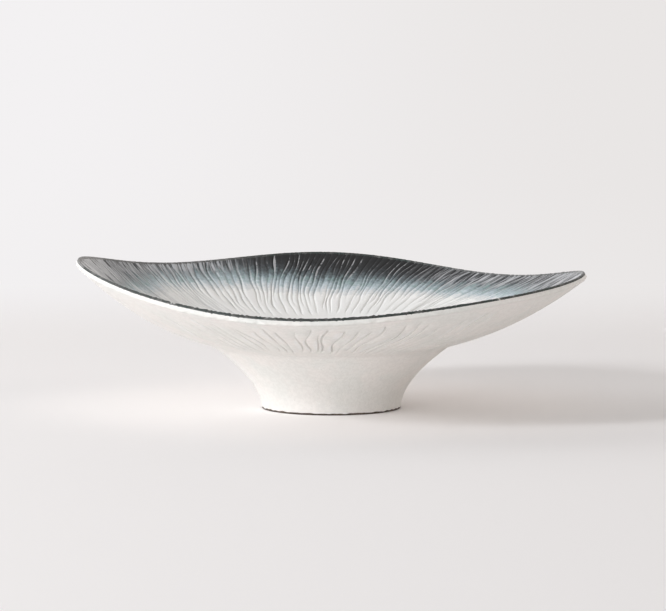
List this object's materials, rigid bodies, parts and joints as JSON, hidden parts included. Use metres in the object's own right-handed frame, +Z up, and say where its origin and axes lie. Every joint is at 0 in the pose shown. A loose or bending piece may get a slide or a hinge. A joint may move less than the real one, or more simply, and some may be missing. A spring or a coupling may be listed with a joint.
{
  "type": "footed stoneware bowl",
  "caption": "Wide shallow stoneware bowl with a wavy dark-edged rim, fine forking ribs inside and a hollow flared foot.",
  "frame": {"origin": "on the table, under the centre of the bowl's box, on the pedestal's axis", "axes": "+Z up, +X along the bowl's length from tip to tip, -Y the side that the picture shows"},
  "size_m": [0.338, 0.322, 0.0996],
  "materials": {
    "white_glaze": "off-white satin stoneware glaze, faintly pebbled",
    "dark_glaze": "greenish black glaze, slightly rough",
    "bare_clay": "unglazed dark brown stoneware"
  },
  "bodies": {
    "root": {"dish": "white_glaze", "rim_edge": "dark_glaze", "pedestal": "white_glaze", "slip_joint": "bare_clay", "foot_ring": "bare_clay"}
  },
  "joints": []
}
